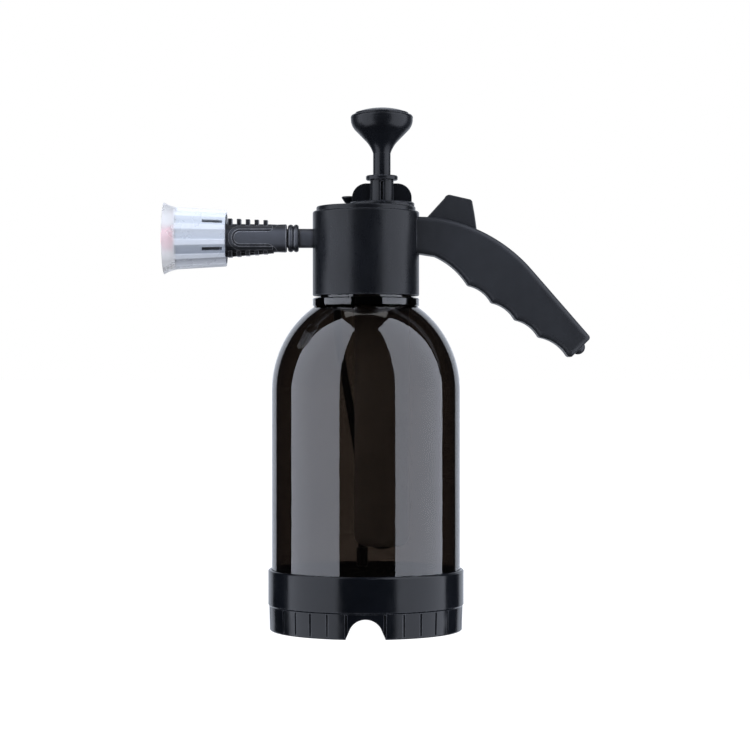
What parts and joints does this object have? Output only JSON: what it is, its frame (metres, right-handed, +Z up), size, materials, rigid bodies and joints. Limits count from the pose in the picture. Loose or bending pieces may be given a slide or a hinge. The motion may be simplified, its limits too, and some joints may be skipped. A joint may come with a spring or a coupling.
{
  "type": "pump sprayer",
  "caption": "Hand-pump foam sprayer: smoked pressure bottle, screw head with handle and thumb lever, off-centre pump with knob, relief valve and side foam nozzle.",
  "frame": {"origin": "on the bottle's axis, in the plane the base ring stands on", "axes": "+Z up along the bottle's axis, -X along the nozzle, +X towards the handle"},
  "size_m": [0.2689, 0.123, 0.3282],
  "materials": {
    "smoked_plastic": "clear smoked, glossy",
    "black_plastic": "satin",
    "handle_plastic": "fine satin grain",
    "milky_plastic": "translucent, milky",
    "red_plastic": "satin",
    "white_plastic": "natural",
    "tube_plastic": "translucent",
    "black_rubber": "moulded",
    "steel": "drawn",
    "grey_mesh": "woven"
  },
  "bodies": {
    "bottle": {"bottle": "smoked_plastic", "base_ring": "black_plastic"},
    "gasket": {"neck_gasket": "black_rubber"},
    "head": {"head_body": "black_plastic", "top_cover": "black_plastic", "handle": "handle_plastic", "handle_end_plug": "handle_plastic", "lever_pin": "steel", "valve_gland": "black_plastic", "stem_o_ring": "black_rubber", "dip_tube": "tube_plastic", "dip_tube_filter": "black_plastic", "pump_o_ring": "black_rubber", "spout_tube": "black_plastic", "swivel_nut": "black_plastic", "swivel_seal": "black_rubber", "relief_spring": "steel"},
    "lever": {"thumb_lever": "handle_plastic"},
    "yoke": {"valve_yoke": "black_plastic", "valve_stem": "steel", "valve_seal": "black_rubber", "valve_spring": "steel"},
    "relief": {"relief_knob": "black_plastic", "relief_seal": "black_rubber"},
    "washer": {"pump_washer": "black_rubber"},
    "pump": {"pump_cap": "black_plastic", "pump_cylinder": "white_plastic", "check_valve": "black_rubber"},
    "piston": {"piston": "white_plastic", "piston_seal": "black_rubber"},
    "rod": {"pump_rod": "black_plastic", "rod_clip": "steel", "pump_knob": "black_plastic", "knob_cap": "black_plastic"},
    "nozzle": {"nozzle_body": "black_plastic", "nozzle_jet": "white_plastic", "foam_tube": "white_plastic", "foam_mesh": "grey_mesh", "foam_insert": "red_plastic"},
    "cap": {"nozzle_cap": "milky_plastic"}
  },
  "joints": [
    {"name": "head_lift", "type": "slide", "parent": "bottle", "child": "gasket", "axis": [0, 0, 1], "range_m": [0, 0.0101]},
    {"name": "head_turn", "type": "hinge", "parent": "gasket", "child": "head", "pos_m": [0, 0, 0], "axis": [0, 0, 1], "range_deg": [0, 720]},
    {"name": "thumb_press", "type": "hinge", "parent": "head", "child": "lever", "pos_m": [0.066, 0, 0.247], "axis": [0, -1, 0], "range_deg": [0, 11], "stiffness_Nm_per_rad": 1, "springref_deg": -11.46},
    {"name": "yoke_pull", "type": "slide", "parent": "head", "child": "yoke", "axis": [1, 0, 0], "range_m": [0, 0.00154]},
    {"name": "relief_pull", "type": "slide", "parent": "head", "child": "relief", "axis": [0, 0, 1], "range_m": [0, 0.0025], "stiffness_N_per_m": 800, "springref_m": -0.003, "deforming": ["relief_spring"]},
    {"name": "pump_lift", "type": "slide", "parent": "head", "child": "washer", "axis": [0, 0, 1], "range_m": [0, 0.0081]},
    {"name": "pump_turn", "type": "hinge", "parent": "washer", "child": "pump", "pos_m": [0.01, 0, 0.2666], "axis": [0, 0, 1], "range_deg": [0, 720]},
    {"name": "pump_stroke", "type": "slide", "parent": "pump", "child": "piston", "axis": [0, 0, 1], "range_m": [0, 0.155]},
    {"name": "knob_turn", "type": "hinge", "parent": "piston", "child": "rod", "pos_m": [0.01, 0, 0.3], "axis": [0, 0, 1], "range_deg": [0, 90]},
    {"name": "nozzle_swivel", "type": "hinge", "parent": "head", "child": "nozzle", "pos_m": [-0.06, 0, 0.246], "axis": [-1, 0, 0], "continuous": true},
    {"name": "nozzle_cap_turn", "type": "hinge", "parent": "nozzle", "child": "cap", "pos_m": [-0.1, 0, 0.246], "axis": [-1, 0, 0], "range_deg": [0, 60]}
  ],
  "couplings": [
    {"joint": "head_lift", "follows": "head_turn", "m_per_rad": 0.00079577},
    {"joint": "pump_lift", "follows": "pump_turn", "m_per_rad": 0.00063662},
    {"joint": "yoke_pull", "follows": "thumb_press", "m_per_rad": 0.008}
  ]
}
